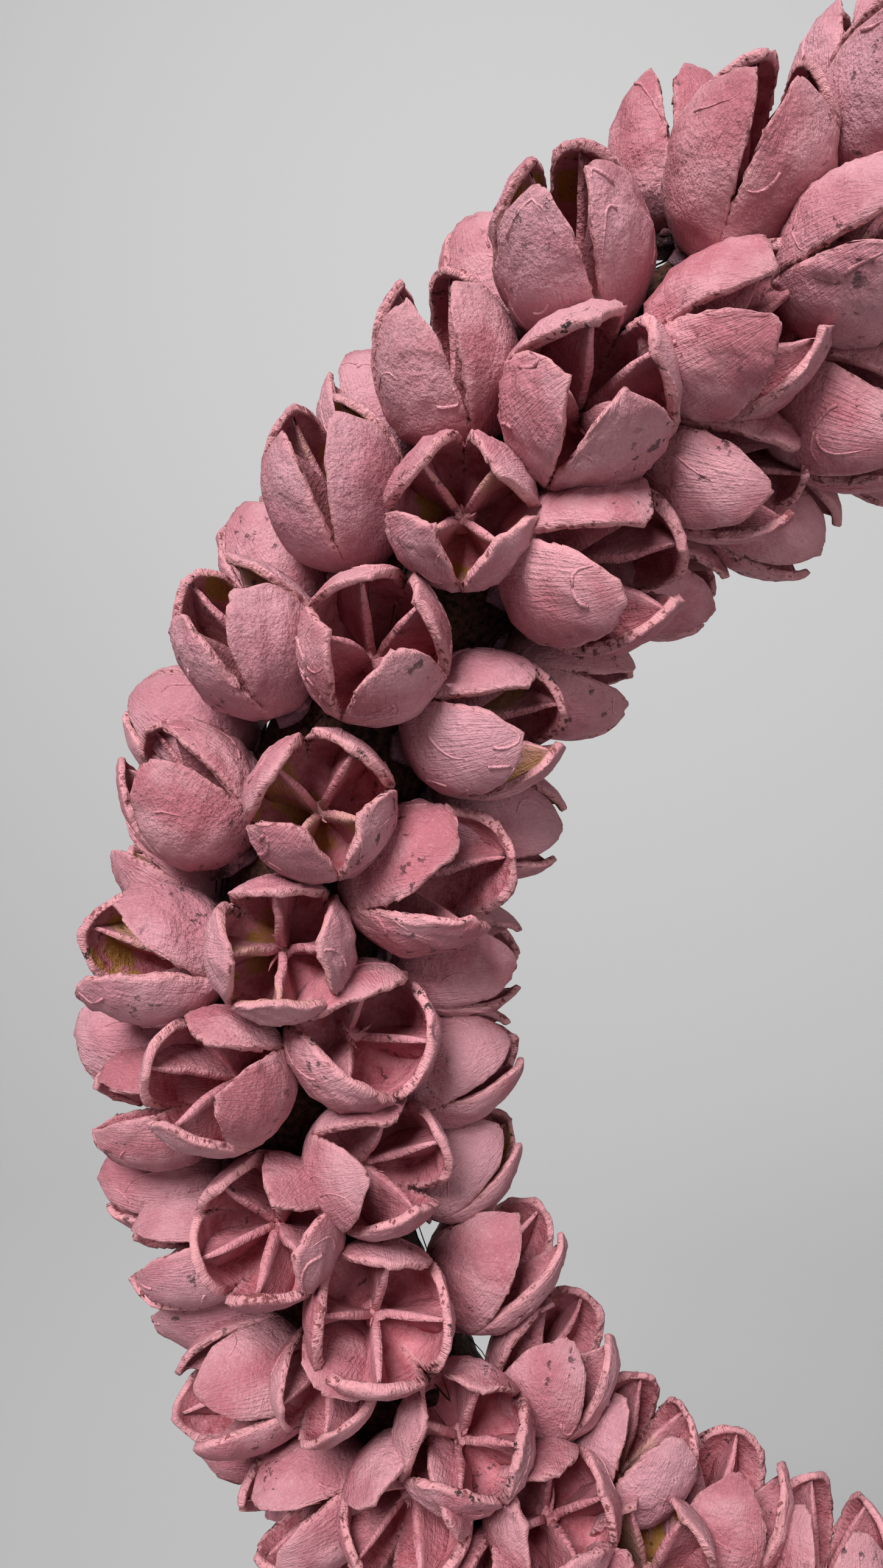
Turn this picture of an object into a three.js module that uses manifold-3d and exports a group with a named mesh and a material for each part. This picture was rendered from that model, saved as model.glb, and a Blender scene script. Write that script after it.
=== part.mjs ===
// Door wreath: woody seed pods glued in five rows round a coir ring, with a
// wire hoop in the ring's back and a wire loop to hang it by. Millimetres, +Z
// up, front towards -Y. The origin is where the loop bears on its nail.
import * as THREE from "three";
import { mergeVertices } from "three/addons/utils/BufferGeometryUtils.js";
import Module from "manifold-3d";

const wasm = await Module();
wasm.setup();

// The coir ring: a round bundle with a flat back and a groove for the hoop.
const RING_RADIUS = 148;
const COIR_RADIUS = 12;
const BACK_DEPTH = 9.5;
const GROOVE_HALF = 2.6;
const GROOVE_FLOOR = 5.2;
const RING_STEPS = 40;

// The steel hoop that stiffens the coir, lying in the groove.
const HOOP_WIRE = 1.8;
const HOOP_DEPTH = 7.4;

// The hanging loop: one wire tied round the coir, bent to an eye at the back.
const TIE_RADIUS = 13.4;
const TIE_WIRE = 0.8;
const EYE_RADIUS = 7;
const EYE_HEIGHT = RING_RADIUS + 12;
const HANG_HEIGHT = EYE_HEIGHT + EYE_RADIUS - TIE_WIRE;

// A pod of size 1: a woody cup that has split from its tip into valves.
const POD_RADIUS = 13.2;
const POD_HEIGHT = 28.5;
const POD_WALL = 2;
const POD_LIFT = 14.5;
const BELLY = { height: 0.36, radius: 0.93 };
const SPLIT = { height: 0.6, radius: 0.97 };
const FLOOR = 0.2;
const CLEARANCE = 0.4;
const PODS_IN_A_RUN = 3;

// The run of glue that three neighbouring pods stand in.
const GLUE_RADIUS = 2.4;
const GLUE_LIFT = 15.8;
const GLUE_STEPS = 2;
const GLUE_SIDES = 4;

const TRUNK = [0.14, 0.36, 0.6, 0.85, 1];
const TRUNK_SHARE = [0.4, 0.86, 0.93, 0.96, 1];

const DUSTY_PINK = { color: 0xc77f86, roughness: 0.85, metalness: 0 };
const COIR_BROWN = { color: 0x4a3226, roughness: 0.95, metalness: 0 };
const WIRE_GREY = { color: 0x8b8c8c, roughness: 0.4, metalness: 0.9 };

// Each row of pods follows the ring at one angle round its section: 0 faces
// the room, 90 away from the wreath's centre and -90 into it. A set pod reads
// [angle along the ring, angle round its section, lean along, lean across,
// size, valves, spread], angles in degrees; pods beyond the set ones follow
// evenly.
const ROWS = [
  {
    name: "outer",
    around: 90,
    count: 36,
    set: [
      [97, 84, -16, 4, 1.0, 4, 1.0],
      [108, 84, -12, 4, 1.05, 4, 1.02],
      [119, 84, -20, 2, 1.0, 4, 1.0],
      [130, 86, -12, 8, 1.0, 4, 1.0],
      [141, 92, -20, 6, 0.95, 4, 1.0],
      [152, 92, -22, 4, 1.0, 4, 1.0],
      [163, 88, -10, 0, 1.0, 4, 1.0],
      [174, 92, -20, 4, 0.95, 4, 1.0],
      [184, 82, -4, 0, 1.0, 3, 1.0],
      [194, 78, -12, 6, 0.95, 4, 1.0],
      [203, 74, -14, 12, 0.9, 4, 1.0],
      [212, 72, -12, 8, 0.95, 4, 1.0],
      [221, 76, -14, 6, 0.95, 4, 1.0],
    ],
  },
  {
    name: "outer_front",
    around: 52,
    count: 36,
    set: [
      [97, 48, -16, -4, 1.05, 4, 1.0],
      [108, 42, -10, -10, 1.1, 4, 0.98],
      [118, 42, -26, -10, 1.1, 4, 0.98],
      [127, 50, -16, -14, 1.05, 4, 1.0],
      [138, 54, -26, -6, 1.05, 4, 1.0],
      [149, 56, -34, -8, 1.05, 4, 1.0],
      [158, 52, -30, -14, 1.05, 4, 1.04],
      [169, 54, -38, -4, 1.05, 4, 1.06],
      [178, 50, -20, -14, 1.0, 3, 1.1],
      [188, 46, -16, 4, 0.95, 4, 1.06],
      [198, 44, -18, 8, 0.9, 4, 1.0],
      [207, 40, -26, -2, 1.0, 4, 1.04],
      [216, 36, -24, -4, 1.0, 4, 1.04],
    ],
  },
  {
    name: "front",
    around: 4,
    count: 36,
    set: [
      [96, 4, -24, 4, 1.0, 4, 1.0],
      [105, 2, -18, 6, 1.05, 4, 1.0],
      [114, -10, -20, 8, 1.1, 4, 0.98],
      [124, -8, -34, -4, 1.05, 4, 1.02],
      [132, -2, -18, 2, 1.1, 4, 1.0],
      [142, 5, -6, -6, 1.0, 4, 1.06],
      [154, -1, -28, 2, 1.0, 4, 1.02],
      [164, -5, -24, -4, 1.0, 4, 1.04],
      [174, -2, -18, -8, 0.95, 3, 1.08],
      [185, 16, -20, -12, 1.0, 4, 1.08],
      [196, 6, -22, -14, 1.0, 5, 1.06],
      [207, 6, -10, -10, 0.85, 3, 1.0],
      [217, -2, -8, -2, 1.0, 4, 1.0],
      [227, 2, -16, -12, 0.95, 4, 1.04],
    ],
  },
  {
    name: "inner_front",
    around: -46,
    count: 30,
    set: [
      [97, -44, -22, 4, 1.0, 4, 1.0],
      [108, -50, -26, 6, 1.0, 4, 1.0],
      [118, -60, -32, 10, 1.1, 4, 1.0],
      [128, -60, -30, 14, 1.0, 4, 1.0],
      [140, -50, -26, 14, 1.15, 5, 1.06],
      [155, -58, -30, 8, 1.05, 4, 1.0],
      [168, -56, -20, 12, 1.05, 4, 1.1],
      [181, -42, -20, 12, 1.0, 4, 1.06],
      [193, -42, -20, 2, 1.0, 3, 1.08],
      [205, -30, -22, 0, 1.0, 4, 1.08],
      [217, -34, -24, -2, 1.0, 4, 1.08],
      [227, -44, -20, 2, 1.0, 4, 1.06],
      [238, -52, -28, -6, 1.0, 4, 1.02],
    ],
  },
  {
    name: "inner",
    around: -92,
    count: 30,
    set: [
      [101, -90, -18, 2, 0.95, 4, 1.0],
      [113, -94, -24, 2, 0.95, 4, 1.0],
      [125, -92, -24, 4, 0.95, 4, 1.0],
      [136, -95, -24, -2, 0.95, 4, 1.0],
      [148, -92, -24, 0, 0.95, 4, 1.0],
      [162, -92, -14, -2, 0.95, 4, 1.0],
      [176, -92, -8, -4, 0.9, 4, 1.0],
      [188, -94, -20, -8, 0.9, 4, 1.0],
      [198, -96, -24, -6, 0.9, 4, 1.0],
      [209, -90, -30, -6, 1.0, 4, 1.04],
      [221, -88, -30, 4, 1.0, 4, 1.02],
      [232, -90, -22, 8, 1.0, 4, 1.04],
      [243, -94, -18, -2, 1.0, 4, 1.04],
      [254, -96, -12, 4, 1.0, 4, 1.04],
    ],
  },
];

// A repeatable number from 0 to 1 for a pod's row and place in it.
function chance(row, place, which) {
  const wave = Math.sin(row * 12.9898 + place * 78.233 + which * 37.719) * 43758.5453;
  return wave - Math.floor(wave);
}

// The set pods of a row, then pods at an even pitch round the rest of the ring.
function podsOf(row, rowNumber) {
  const first = row.set[0][0];
  const last = row.set[row.set.length - 1][0];
  const rest = row.count - row.set.length;
  const pitch = (360 - (last - first)) / (rest + 1);
  const even = Array.from({ length: rest }, (_, k) => {
    const sway = (which, reach) => (chance(rowNumber, k, which) * 2 - 1) * reach;
    return [
      last + (k + 1) * pitch + sway(1, 1.2),
      row.around + sway(2, 5),
      -20 + sway(3, 11),
      sway(4, 9),
      0.98 + sway(5, 0.06),
      chance(rowNumber, k, 6) < 0.2 ? 3 : 4,
      1.03 + sway(7, 0.05),
    ];
  });
  return [...row.set, ...even];
}

// The ring's own directions at a place along it and round its section.
function placeOnRing(along, around) {
  const a = THREE.MathUtils.degToRad(along);
  const b = THREE.MathUtils.degToRad(around);
  const outward = new THREE.Vector3(Math.cos(a), 0, Math.sin(a));
  const forward = new THREE.Vector3(0, -1, 0);
  return {
    centre: outward.clone().multiplyScalar(RING_RADIUS),
    normal: forward.clone().multiplyScalar(Math.cos(b)).addScaledVector(outward, Math.sin(b)),
    onward: new THREE.Vector3(-Math.sin(a), 0, Math.cos(a)),
    across: outward.clone().multiplyScalar(Math.cos(b)).addScaledVector(forward, -Math.sin(b)),
  };
}

// Where a pod stands, which way it points, and how big it is.
function standPod([along, around, leanAlong, leanAcross, size, valves, spread]) {
  const ring = placeOnRing(along, around);
  const axis = ring.normal
    .clone()
    .addScaledVector(ring.onward, Math.tan(THREE.MathUtils.degToRad(leanAlong)))
    .addScaledVector(ring.across, Math.tan(THREE.MathUtils.degToRad(leanAcross)))
    .normalize();
  return {
    foot: ring.centre.clone().addScaledVector(ring.normal, POD_LIFT),
    glue: ring.centre.clone().addScaledVector(ring.normal, GLUE_LIFT),
    axis,
    side: ring.across.clone().cross(axis).normalize(),
    radius: POD_RADIUS * size,
    height: POD_HEIGHT * size,
    valves,
    spread,
  };
}

// Neighbours in different runs are narrowed until their walls stand clear.
function narrowPods(pods) {
  const share = pods.map(() => 1);
  const trunk = pods.map((pod) =>
    TRUNK.map((t) => pod.foot.clone().addScaledVector(pod.axis, t * pod.height)),
  );
  pods.forEach((one, i) => {
    pods.forEach((other, j) => {
      if (j <= i || one.run === other.run || one.foot.distanceTo(other.foot) > 45) return;
      trunk[i].forEach((p, m) => {
        trunk[j].forEach((q, n) => {
          const wanted = TRUNK_SHARE[m] * one.radius + TRUNK_SHARE[n] * other.radius;
          const room = (p.distanceTo(q) - CLEARANCE) / wanted;
          share[i] = Math.min(share[i], room);
          share[j] = Math.min(share[j], room);
        });
      });
    });
  });
  pods.forEach((pod, i) => {
    pod.radius *= share[i];
  });
}

// An open cup: foot point, belly, a rim that rises at each valve's middle and
// drops at each split, and the hollow down to the pod's floor.
function podGeometry({ radius, height, valves, spread }) {
  const sides = valves * 2;
  const points = [[0, 0, 0]];
  const addRing = (radiusAt, heightAt) => {
    for (let k = 0; k < sides; k++) {
      const turn = (k / sides) * Math.PI * 2;
      const r = radiusAt(k);
      points.push([r * Math.cos(turn), r * Math.sin(turn), heightAt(k)]);
    }
  };
  const rimRadius = (k) => radius * (k % 2 ? SPLIT.radius : spread);
  const rimHeight = (k) => height * (k % 2 ? SPLIT.height : 1);
  addRing(() => radius * BELLY.radius, () => height * BELLY.height);
  addRing(rimRadius, rimHeight);
  addRing((k) => rimRadius(k) - POD_WALL, rimHeight);
  points.push([0, 0, height * FLOOR]);
  const floor = points.length - 1;
  const index = [];
  for (let k = 0; k < sides; k++) {
    const next = (k + 1) % sides;
    index.push(0, 1 + next, 1 + k);
    for (let ring = 0; ring < 2; ring++) {
      const low = 1 + ring * sides;
      const high = low + sides;
      index.push(low + k, low + next, high + next, low + k, high + next, high + k);
    }
    const inner = 1 + 2 * sides;
    index.push(inner + k, inner + next, floor);
  }
  const geometry = new THREE.BufferGeometry();
  geometry.setAttribute("position", new THREE.Float32BufferAttribute(points.flat(), 3));
  geometry.setIndex(index);
  return geometry;
}

// A closed three.js geometry as a solid, and a solid as a geometry.
function solidOf(geometry) {
  const bare = geometry.clone();
  bare.deleteAttribute("normal");
  bare.deleteAttribute("uv");
  const merged = mergeVertices(bare, 1e-4);
  return new wasm.Manifold(
    new wasm.Mesh({
      numProp: 3,
      vertProperties: merged.attributes.position.array,
      triVerts: new Uint32Array(merged.index.array),
    }),
  );
}

function geometryOf(solid) {
  const mesh = solid.getMesh();
  const geometry = new THREE.BufferGeometry();
  geometry.setAttribute("position", new THREE.BufferAttribute(mesh.vertProperties, 3));
  geometry.setIndex(new THREE.BufferAttribute(mesh.triVerts, 1));
  geometry.computeVertexNormals();
  return geometry;
}

// The rope of glue through a run's feet.
function glueGeometry(run) {
  const section = new THREE.Shape(
    Array.from({ length: GLUE_SIDES }, (_, k) => {
      const turn = (k / GLUE_SIDES) * Math.PI * 2;
      return new THREE.Vector2(GLUE_RADIUS * Math.cos(turn), GLUE_RADIUS * Math.sin(turn));
    }),
  );
  const path = new THREE.CatmullRomCurve3(run.map((pod) => pod.glue));
  return new THREE.ExtrudeGeometry(section, {
    extrudePath: path,
    steps: GLUE_STEPS,
    bevelEnabled: false,
  });
}

// Three pods and the glue they stand in, as one closed solid.
function runMesh(name, run) {
  let solid = solidOf(glueGeometry(run));
  for (const pod of run) {
    const frame = new THREE.Matrix4().makeBasis(
      pod.side,
      pod.axis.clone().cross(pod.side),
      pod.axis,
    );
    frame.setPosition(pod.foot);
    solid = solid.add(solidOf(podGeometry(pod).applyMatrix4(frame)));
  }
  const mesh = new THREE.Mesh(geometryOf(solid), new THREE.MeshStandardMaterial(DUSTY_PINK));
  mesh.name = name;
  return mesh;
}

// The coir bundle's section turned round the wreath's axis, which is Y.
function coirMesh() {
  const flat = Math.sqrt(COIR_RADIUS ** 2 - BACK_DEPTH ** 2);
  const start = Math.atan2(BACK_DEPTH, flat);
  const sweep = Math.PI + 2 * start;
  const steps = 8;
  const profile = [];
  for (let k = 0; k <= steps; k++) {
    const turn = start - (k / steps) * sweep;
    profile.push([COIR_RADIUS * Math.cos(turn), COIR_RADIUS * Math.sin(turn)]);
  }
  profile.push([-GROOVE_HALF, BACK_DEPTH]);
  profile.push([-GROOVE_HALF, GROOVE_FLOOR]);
  profile.push([GROOVE_HALF, GROOVE_FLOOR]);
  profile.push([GROOVE_HALF, BACK_DEPTH]);
  const points = profile.map(([out, deep]) => new THREE.Vector2(RING_RADIUS + out, deep));
  points.push(points[0].clone());
  const geometry = new THREE.LatheGeometry(points.reverse(), RING_STEPS);
  const solid = solidOf(geometry);
  const mesh = new THREE.Mesh(geometryOf(solid), new THREE.MeshStandardMaterial(COIR_BROWN));
  mesh.name = "coir_ring";
  return mesh;
}

function hoopMesh() {
  const geometry = new THREE.TorusGeometry(RING_RADIUS, HOOP_WIRE, 6, RING_STEPS);
  const mesh = new THREE.Mesh(geometry, new THREE.MeshStandardMaterial(WIRE_GREY));
  mesh.name = "wire_hoop";
  mesh.rotation.x = Math.PI / 2;
  mesh.position.y = HOOP_DEPTH;
  return mesh;
}

// The tie goes round the coir at the top, and the eye stands up behind it.
function hangingLoopMesh() {
  const tie = new THREE.TorusGeometry(TIE_RADIUS, TIE_WIRE, 6, 24);
  tie.rotateY(Math.PI / 2);
  tie.translate(0, 0, RING_RADIUS);
  const eye = new THREE.TorusGeometry(EYE_RADIUS, TIE_WIRE, 6, 20);
  eye.rotateX(Math.PI / 2);
  eye.translate(0, TIE_RADIUS, EYE_HEIGHT);
  const solid = solidOf(tie).add(solidOf(eye));
  const mesh = new THREE.Mesh(geometryOf(solid), new THREE.MeshStandardMaterial(WIRE_GREY));
  mesh.name = "hanging_loop";
  return mesh;
}

const wreath = new THREE.Group();
wreath.position.set(0, -TIE_RADIUS, -HANG_HEIGHT);
wreath.add(coirMesh(), hoopMesh(), hangingLoopMesh());

const rows = ROWS.map((row, r) => podsOf(row, r + 1).map(standPod));
rows.forEach((pods, r) => {
  pods.forEach((pod, k) => {
    pod.run = `pods_${ROWS[r].name}_${String(Math.floor(k / PODS_IN_A_RUN) + 1).padStart(2, "0")}`;
  });
});
narrowPods(rows.flat());
for (const pods of rows) {
  for (let k = 0; k < pods.length; k += PODS_IN_A_RUN) {
    const run = pods.slice(k, k + PODS_IN_A_RUN);
    wreath.add(runMesh(run[0].run, run));
  }
}

const part = new THREE.Group();
part.add(wreath);

export default part;
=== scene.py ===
"""Door wreath: split woody seed pods in dusty pink paint, glued in five rows round a coir ring."""

import math

import bpy
import numpy as np
from mathutils import Matrix, Vector


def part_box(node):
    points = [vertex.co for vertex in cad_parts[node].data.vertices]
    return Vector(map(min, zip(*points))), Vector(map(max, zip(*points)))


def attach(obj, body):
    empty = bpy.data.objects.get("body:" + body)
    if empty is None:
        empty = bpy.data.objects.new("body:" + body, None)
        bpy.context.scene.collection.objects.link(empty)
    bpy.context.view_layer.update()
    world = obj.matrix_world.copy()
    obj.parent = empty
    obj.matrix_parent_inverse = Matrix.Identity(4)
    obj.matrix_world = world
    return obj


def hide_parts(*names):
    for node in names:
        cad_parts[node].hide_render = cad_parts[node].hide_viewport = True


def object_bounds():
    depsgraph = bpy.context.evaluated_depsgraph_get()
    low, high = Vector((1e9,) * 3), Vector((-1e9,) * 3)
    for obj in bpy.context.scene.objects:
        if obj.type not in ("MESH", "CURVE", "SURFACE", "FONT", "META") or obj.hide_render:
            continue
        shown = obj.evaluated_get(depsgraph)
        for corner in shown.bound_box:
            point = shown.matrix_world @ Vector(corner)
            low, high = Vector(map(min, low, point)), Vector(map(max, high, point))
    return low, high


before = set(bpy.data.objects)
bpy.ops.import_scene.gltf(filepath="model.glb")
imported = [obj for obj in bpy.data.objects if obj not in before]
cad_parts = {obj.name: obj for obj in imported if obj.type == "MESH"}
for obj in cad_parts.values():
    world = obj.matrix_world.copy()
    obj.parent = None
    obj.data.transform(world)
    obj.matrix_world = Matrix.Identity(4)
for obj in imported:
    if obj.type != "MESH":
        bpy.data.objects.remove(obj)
cad_low, cad_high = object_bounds()

# ---------------------------------------------------------------------------
# Coir ring. The base is a bundle of coconut fibre, 24 mm thick, bound into a
# ring with a flat back, so that it lies against the door. Its loose fibres
# show as brown bristle wherever the pods leave a gap; the fibre's dark streaks
# are darkened nearly to black, as painted shade in those gaps.

MM = 0.001
COIR_RADIUS = 12.0
BACK_DEPTH = 9.5
GROOVE_HALF = 2.6
GROOVE_FLOOR = 5.2
SWELL = 0.36
# Nearly black: the coir's dark brown, darkened further as painted shade for the gaps between the pods.
COIR_DARK_AND_SHADE = (0.006, 0.002, 0.002, 1)
COIR_PALE = (0.075, 0.028, 0.018, 1)
SOFT_DEPTH = 6.0
HAIRS = 620
HAIR_LIFT = 5.0
MERGE_DIGITS = 4

coir_low, coir_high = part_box("coir_ring")
RING_RADIUS = (coir_high.x - coir_low.x) / 2 / MM - COIR_RADIUS
CENTRE = np.array([
    (coir_low.x + coir_high.x) / 2,
    coir_high.y - BACK_DEPTH * MM,
    (coir_low.z + coir_high.z) / 2,
])

chooser = np.random.default_rng(7)


def waves(points, size, seed):
    """Smooth noise of about -1 to 1: twelve sine waves of about one size, each bent by those before."""
    rng = np.random.default_rng(seed)
    total = np.zeros(points.shape[:-1])
    for _ in range(12):
        direction = rng.normal(size=3)
        direction *= 2 * np.pi / (size * rng.uniform(0.6, 1.5) * np.linalg.norm(direction))
        total = total + np.sin(points @ direction + rng.uniform(0, 6.3) + 0.6 * total)
    return total / 5


def ring_directions(along, around):
    """Unit vectors at angles in degrees along the ring and round its section: out from the ring's
    centre, normal to the section, onward along the ring, and across it."""
    a, b = np.radians(along), np.radians(around)
    zero = np.zeros_like(a)
    out = np.stack([np.cos(a), zero, np.sin(a)], -1)
    front = np.array([0.0, -1.0, 0.0])
    normal = np.cos(b)[..., None] * front + np.sin(b)[..., None] * out
    onward = np.stack([-np.sin(a), zero, np.cos(a)], -1)
    across = np.cos(b)[..., None] * out - np.sin(b)[..., None] * front
    return out, normal, onward, across


def grid_triangles(rows, cols, wrap=False):
    """Two triangles for each cell of a grid of points stored row by row; wrap joins the last column
    to the first."""
    r = np.arange(rows - 1)[:, None]
    c = np.arange(cols if wrap else cols - 1)[None, :]
    a = r * cols + c
    b = r * cols + (c + 1) % cols
    quads = np.stack([a, b, b + cols, a + cols], -1).reshape(-1, 4)
    return np.concatenate([quads[:, [0, 1, 2]], quads[:, [0, 2, 3]]])


def make_piece(name, points, triangles, material, replaces, finish=None, uv=None):
    """One smooth mesh in place, from points in mm from the ring's centre. Points that meet are merged
    and triangles with no area dropped; finish is a colour to a point and uv a place to a corner."""
    keys = np.round(points, MERGE_DIGITS)
    _, first, merged = np.unique(keys, axis=0, return_index=True, return_inverse=True)
    merged = merged.reshape(-1)
    faces = merged[triangles]
    whole = (faces[:, 0] != faces[:, 1]) & (faces[:, 1] != faces[:, 2]) & (faces[:, 0] != faces[:, 2])
    faces, corners = faces[whole], triangles[whole]
    mesh = bpy.data.meshes.new(name)
    mesh.vertices.add(len(first))
    mesh.vertices.foreach_set("co", (points[first] * MM + CENTRE).astype(np.float32).ravel())
    mesh.loops.add(faces.size)
    mesh.loops.foreach_set("vertex_index", faces.astype(np.int32).ravel())
    mesh.polygons.add(len(faces))
    mesh.polygons.foreach_set("loop_start", np.arange(0, faces.size, 3, dtype=np.int32))
    mesh.polygons.foreach_set("use_smooth", np.ones(len(faces), dtype=bool))
    if finish is not None:
        layer = mesh.attributes.new("finish", "FLOAT_COLOR", "POINT")
        layer.data.foreach_set("color", finish[first].astype(np.float32).ravel())
    if uv is not None:
        mesh.uv_layers.new(name="grain").data.foreach_set("uv", uv[corners].astype(np.float32).ravel())
    mesh.update(calc_edges=True)
    mesh.validate()
    mesh.materials.append(material)
    piece = bpy.data.objects.new(name, mesh)
    bpy.context.scene.collection.objects.link(piece)
    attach(piece, "root")
    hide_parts(*replaces)


def tubes(paths, radius, sides, taper=0.0):
    """Closed tubes along many paths at once: paths is [tube, step, xyz]. Each ring of points is a
    circle square to its path, thinner towards the end by taper, and both ends close on the path."""
    count, steps, _ = paths.shape
    heading = np.gradient(paths, axis=1)
    heading /= np.linalg.norm(heading, axis=-1, keepdims=True) + 1e-9
    not_along = np.where(np.abs(heading[..., 1:2]) < 0.8, [[[0, 1.0, 0]]], [[[1.0, 0, 0]]])
    side = np.cross(heading, not_along)
    side /= np.linalg.norm(side, axis=-1, keepdims=True) + 1e-9
    lift = np.cross(side, heading)
    turn = np.linspace(0, 2 * np.pi, sides, endpoint=False)
    thick = np.broadcast_to(np.asarray(radius, dtype=float).reshape(-1, 1), (count, steps))
    thick = thick * (1 - taper * np.linspace(0, 1, steps)[None, :] ** 2)
    rings = (
        paths[:, :, None]
        + thick[..., None, None] * np.cos(turn)[None, None, :, None] * side[:, :, None]
        + thick[..., None, None] * np.sin(turn)[None, None, :, None] * lift[:, :, None]
    )
    start = np.repeat(paths[:, :1, None], sides, axis=2)
    end = np.repeat(paths[:, -1:, None], sides, axis=2)
    rings = np.concatenate([start, rings, end], axis=1)
    points = rings.reshape(-1, 3)
    one = grid_triangles(steps + 2, sides, wrap=True)[:, ::-1]
    offsets = np.arange(count)[:, None, None] * (steps + 2) * sides
    return points, (one[None] + offsets).reshape(-1, 3)


def node_chain(material):
    """The material's node tree, with a short way to add a node and set or link its inputs, each by
    its name, or by i and its number where several share a name."""
    material.use_nodes = True
    tree = material.node_tree

    def add(kind, settings=None, **inputs):
        node = tree.nodes.new(kind)
        for key, value in (settings or {}).items():
            setattr(node, key, value)
        for key, value in inputs.items():
            numbered = key[0] == "i" and key[1:].isdigit()
            socket = node.inputs[int(key[1:])] if numbered else node.inputs[key]
            if isinstance(value, bpy.types.NodeSocket):
                tree.links.new(value, socket)
            else:
                socket.default_value = value
        return node

    return tree, add


def streaked(name, scale, detail, stops, strength, distance):
    """A material streaked by one fine noise: it gives the colour between two stops, and a bump of
    this strength and distance."""
    material = bpy.data.materials.new(name)
    tree, add = node_chain(material)
    shader = tree.nodes["Principled BSDF"]
    place = add("ShaderNodeTexCoord")
    streaks = add("ShaderNodeTexNoise", Vector=place.outputs["Object"], Scale=scale, Detail=detail)
    tint = add("ShaderNodeValToRGB", Fac=streaks.outputs["Fac"])
    for element, (position, colour) in zip(tint.color_ramp.elements, stops):
        element.position = position
        element.color = colour
    tree.links.new(tint.outputs["Color"], shader.inputs["Base Color"])
    bump = add("ShaderNodeBump", Height=streaks.outputs["Fac"], Strength=strength, Distance=distance)
    tree.links.new(bump.outputs["Normal"], shader.inputs["Normal"])
    return material, shader


def fibre_material():
    """Coconut fibre: brown, streaked lighter, its dark streaks darkened nearly to black as painted shade of
    the gaps between the pods, nearly without gloss.
    """
    stops = ((0.35, COIR_DARK_AND_SHADE), (0.72, COIR_PALE))
    material, shader = streaked("coir_fibre", 900.0, 4.0, stops, 0.6, 0.0006)
    shader.inputs["Roughness"].default_value = 0.8
    shader.inputs["Specular IOR Level"].default_value = 0.15
    return material


def coir_bundle():
    """The bundle's section, round, flat behind and with the hoop's groove, carried round the ring;
    all but its back is swollen and rumpled."""
    corner = math.atan2(BACK_DEPTH, math.sqrt(COIR_RADIUS**2 - BACK_DEPTH**2))
    turn = np.linspace(corner, -np.pi - corner, 25)
    section = np.stack([COIR_RADIUS * np.cos(turn), COIR_RADIUS * np.sin(turn)], -1)
    groove = np.array([
        [-GROOVE_HALF, BACK_DEPTH],
        [-GROOVE_HALF, GROOVE_FLOOR],
        [GROOVE_HALF, GROOVE_FLOOR],
        [GROOVE_HALF, BACK_DEPTH],
    ])
    section = np.concatenate([section, groove])
    steps = 300
    along = np.linspace(0, 2 * np.pi, steps, endpoint=False)
    out = np.stack([np.cos(along), np.zeros(steps), np.sin(along)], -1)
    reach = RING_RADIUS + section[:, 0]
    points = reach[None, :, None] * out[:, None]
    points[..., 1] += section[None, :, 1]
    centre = RING_RADIUS * out[:, None]
    away = points - centre
    soft = np.clip((BACK_DEPTH - section[:, 1]) / SOFT_DEPTH, 0, 1)
    rumple = 0.5 * waves(points, 9, 3) + 0.3 * waves(points, 3, 4)
    points = centre + away * (1 + soft[None, :, None] * (rumple[..., None] * 0.08 + SWELL))
    triangles = grid_triangles(steps + 1, len(section), wrap=True) % (steps * len(section))
    return points.reshape(-1, 3), triangles[:, ::-1]


def coir_hairs():
    """Loose fibres: each runs a few centimetres along the bundle, swings round it and lifts at its end."""
    t = np.linspace(0, 1, 8)[None, :]
    each = (HAIRS, 1)
    start = chooser.uniform(0, 360, each)
    span = chooser.uniform(4, 15, each) * chooser.choice([-1, 1], each)
    around = chooser.uniform(-140, 140, each) + chooser.uniform(-70, 70, each) * t
    around = np.clip(around, -146, 146)
    height = COIR_RADIUS * (1 + SWELL) - 0.6 + chooser.uniform(0, 1.0, each)
    height = height + chooser.uniform(0, HAIR_LIFT, each) * t**2 + 0.5 * np.sin(9 * t + start)
    out, normal, _, _ = ring_directions(start + span * t, around)
    paths = RING_RADIUS * out + height[..., None] * normal
    return tubes(paths, chooser.uniform(0.10, 0.26, HAIRS), 3, taper=0.7)


coir_finish = fibre_material()
bundle_points, bundle_triangles = coir_bundle()
make_piece("coir_bundle", bundle_points, bundle_triangles, coir_finish, ["coir_ring"])
hair_points, hair_triangles = coir_hairs()
make_piece("coir_hairs", hair_points, hair_triangles, coir_finish, ["coir_ring"])

# ---------------------------------------------------------------------------
# Wire hoop and hanging loop. The hoop is one 3.6 mm drawn steel wire sunk in
# the ring's back; the loop is thin binding wire, twice round the ring at the
# top and twisted into an eye.

HOOP_WIRE = 1.8
HOOP_DEPTH = 7.4
TIE_RADIUS = 13.0
TIE_WIRE = 0.8
EYE_RADIUS = 7.0
EYE_DEPTH = 13.4
EYE_HEIGHT = RING_RADIUS + 12
STRAND_WIRE = 0.7
STRAND_REACH = 0.75
STEEL_DARK = (0.10, 0.09, 0.085, 1)
STEEL_PALE = (0.40, 0.39, 0.38, 1)


def wire_material():
    """Drawn steel wire, dulled, with fine scuffs."""
    stops = ((0.3, STEEL_DARK), (0.7, STEEL_PALE))
    material, shader = streaked("steel_wire", 600.0, 6.0, stops, 0.3, 0.0002)
    shader.inputs["Metallic"].default_value = 0.9
    shader.inputs["Roughness"].default_value = 0.38
    return material


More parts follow.
